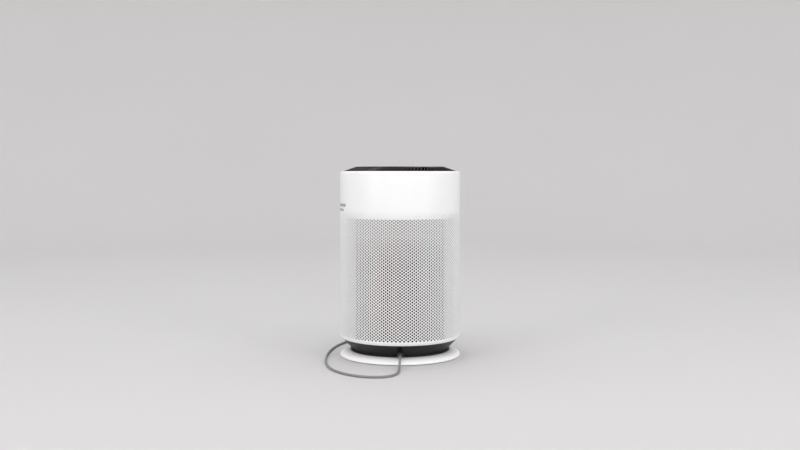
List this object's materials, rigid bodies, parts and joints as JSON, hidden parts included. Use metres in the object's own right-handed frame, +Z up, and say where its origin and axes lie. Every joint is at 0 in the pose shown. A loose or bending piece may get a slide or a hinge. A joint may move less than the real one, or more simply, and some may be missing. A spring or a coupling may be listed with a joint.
{
  "type": "air purifier",
  "caption": "Free-standing cylindrical air purifier with a perforated casing, swirled top outlet, twist-off base disc, push keys and a plug-in supply lead.",
  "frame": {"origin": "on the floor under the casing's axis", "axes": "+Z up along the casing's axis; -Y towards the supply lead, +Y towards the keys; -X towards the printed mark"},
  "size_m": [0.2338, 0.3772, 0.33],
  "materials": {
    "white_shell": "satin moulded white",
    "white_base": "fine matte white",
    "dark_neck": "fine matte black",
    "grille_black": "glossy moulded black",
    "panel_black": "polished black",
    "key_black": "satin black",
    "clear_light": "milky clear",
    "frame_black": "matte black moulding",
    "fan_white": "glass-filled grey-white",
    "base_grey": "textured dark grey",
    "rubber_black": "matte",
    "rubber_grey": "matte",
    "foam_grey": "closed-cell foam",
    "screw_steel": "zinc plated",
    "shaft_steel": "ground",
    "motor_can": "cast",
    "core_steel": "laminated and varnished",
    "bearing_bronze": "sintered",
    "filter_paper": "pleated fibre",
    "filter_carbon": "granular black",
    "filter_mesh": "fine mesh",
    "filter_cap": "matte",
    "board_green": "solder mask",
    "switch_black": "matte",
    "wire_white": "smooth",
    "cord_grey": "smooth matte",
    "plug_grey": "smooth matte",
    "tie_black": "matte",
    "adapter_black": "textured matte",
    "plated_metal": "nickel plated"
  },
  "bodies": {
    "housing": {"neck": "dark_neck", "lock_ring": "dark_neck", "neck_screws": "screw_steel", "dc_jack": "switch_black", "perforated_shell": "white_shell", "upper_shell": "white_shell", "joining_ring": "white_shell", "side_liners": "white_shell", "inner_cage": "frame_black", "filter_media": "filter_paper", "carbon_sleeve": "filter_carbon", "pre_filter": "filter_mesh", "filter_bottom_cap": "filter_cap", "filter_top_cap": "filter_cap", "filter_gasket": "foam_grey", "fan_deck": "frame_black", "inlet_guard": "frame_black", "cage_screws": "screw_steel", "fan_casing": "frame_black", "motor_can": "motor_can", "motor_stator": "core_steel", "motor_bearings": "bearing_bronze", "motor_mount": "frame_black", "motor_bushes": "rubber_black", "motor_screws": "screw_steel", "internal_lead": "wire_white", "panel_housing": "frame_black", "housing_screws": "screw_steel", "control_board": "board_green", "board_screws": "screw_steel", "tact_switches": "switch_black", "control_panel": "panel_black", "light_ring": "clear_light", "lamp_lenses": "clear_light", "top_grille": "grille_black", "dc_plug": "plug_grey", "plug_barrel": "plated_metal", "cord_tube": "cord_grey", "cord_tail": "cord_grey", "cord_coil": "cord_grey", "cord_tie": "tie_black", "adapter_relief": "plug_grey", "power_adapter": "adapter_black", "adapter_blades": "plated_metal"},
    "base": {"base_disc": "white_base", "base_plate": "base_grey", "rubber_feet": "rubber_grey", "base_screws": "screw_steel", "lock_cup": "base_grey"},
    "fan": {"impeller": "fan_white", "motor_shaft": "shaft_steel", "impeller_nut": "shaft_steel", "motor_rotor": "core_steel"},
    "power_key": {"power_key": "key_black"},
    "speed_key": {"speed_key": "key_black"},
    "timer_key": {"timer_key": "key_black"},
    "light_key": {"light_key": "key_black"}
  },
  "joints": [
    {"name": "base_twist", "type": "hinge", "parent": "housing", "child": "base", "pos_m": [0, 0, 0.0147], "axis": [0, 0, 1], "range_deg": [0, 20]},
    {"name": "fan_spin", "type": "hinge", "parent": "housing", "child": "fan", "pos_m": [0, 0, 0.26], "axis": [0, 0, 1], "continuous": true},
    {"name": "power_key_press", "type": "slide", "parent": "housing", "child": "power_key", "axis": [0, 0, -1], "range_m": [0, 0.0008], "stiffness_N_per_m": 1500, "springref_m": -0.0002},
    {"name": "speed_key_press", "type": "slide", "parent": "housing", "child": "speed_key", "axis": [0, 0, -1], "range_m": [0, 0.0008], "stiffness_N_per_m": 1500, "springref_m": -0.0002},
    {"name": "timer_key_press", "type": "slide", "parent": "housing", "child": "timer_key", "axis": [0, 0, -1], "range_m": [0, 0.0008], "stiffness_N_per_m": 1500, "springref_m": -0.0002},
    {"name": "light_key_press", "type": "slide", "parent": "housing", "child": "light_key", "axis": [0, 0, -1], "range_m": [0, 0.0008], "stiffness_N_per_m": 1500, "springref_m": -0.0002}
  ]
}
